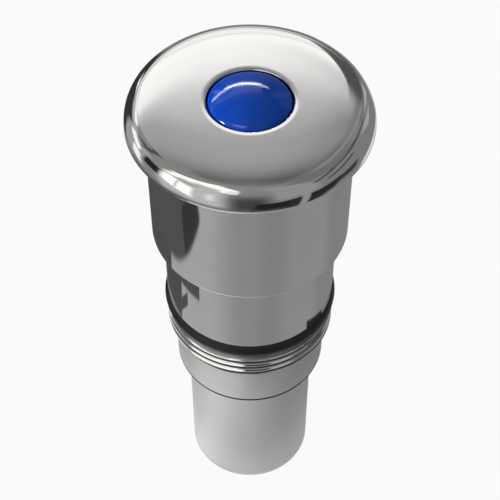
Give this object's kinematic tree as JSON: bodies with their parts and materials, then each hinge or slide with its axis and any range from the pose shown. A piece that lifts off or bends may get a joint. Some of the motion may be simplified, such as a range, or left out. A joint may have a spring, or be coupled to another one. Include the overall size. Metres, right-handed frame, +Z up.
{
  "type": "self-closing push-button valve cartridge",
  "caption": "Push-button self-closing tap cartridge: chromed mushroom button with a blue index on a guide sleeve, rubber ring, male thread and satin cup with a bottom inlet.",
  "frame": {"origin": "on the axis, at the bottom face of the cup and the inlet plug", "axes": "+Z up along the turning axis, from the inlet foot to the button"},
  "size_m": [0.05, 0.05, 0.1211],
  "materials": {
    "chrome": "mirror polished chrome plate on brass",
    "satin_metal": "satin nickel, fine turning marks",
    "index_blue": "glossy blue moulded plastic",
    "black_rubber": "satin black rubber",
    "brass": "turned brass",
    "stainless": "turned stainless steel",
    "spring_wire": "drawn stainless wire",
    "white_plastic": "white moulded plastic"
  },
  "bodies": {
    "housing": {"return_spring": "spring_wire", "dashpot_liner": "white_plastic", "liner_seal": "black_rubber", "guide_bush": "brass", "bush_seal": "black_rubber", "stem_seals": "black_rubber", "bush_clip": "stainless", "bonnet": "chrome", "flange_ring": "black_rubber", "upper_body": "satin_metal", "lower_cup": "satin_metal", "neck_seal": "black_rubber", "seat_ring": "stainless", "seat_seal": "black_rubber", "inlet_plug": "brass", "plug_seal": "black_rubber", "strainer": "stainless", "inlet_clip": "stainless"},
    "spring_carrier": {"spring_cup": "stainless"},
    "plunger": {"button_cap": "chrome", "index_dome": "index_blue", "cap_screw": "stainless", "lock_washer": "stainless", "plunger_stem": "stainless", "piston": "white_plastic", "lip_seal": "black_rubber", "seal_retainer": "brass", "metering_jet": "brass", "piston_clip": "stainless", "valve_washer": "black_rubber", "valve_plate": "brass", "clamp_washer": "stainless", "valve_nut": "brass"}
  },
  "joints": [
    {"name": "button_press", "type": "slide", "parent": "housing", "child": "spring_carrier", "axis": [0, 0, -1], "range_m": [0, 0.008], "stiffness_N_per_m": 1290, "springref_m": -0.01, "deforming": ["return_spring"]},
    {"name": "button_turn", "type": "hinge", "parent": "spring_carrier", "child": "plunger", "pos_m": [0, 0, 0.10595], "axis": [0, 0, 1], "continuous": true}
  ]
}
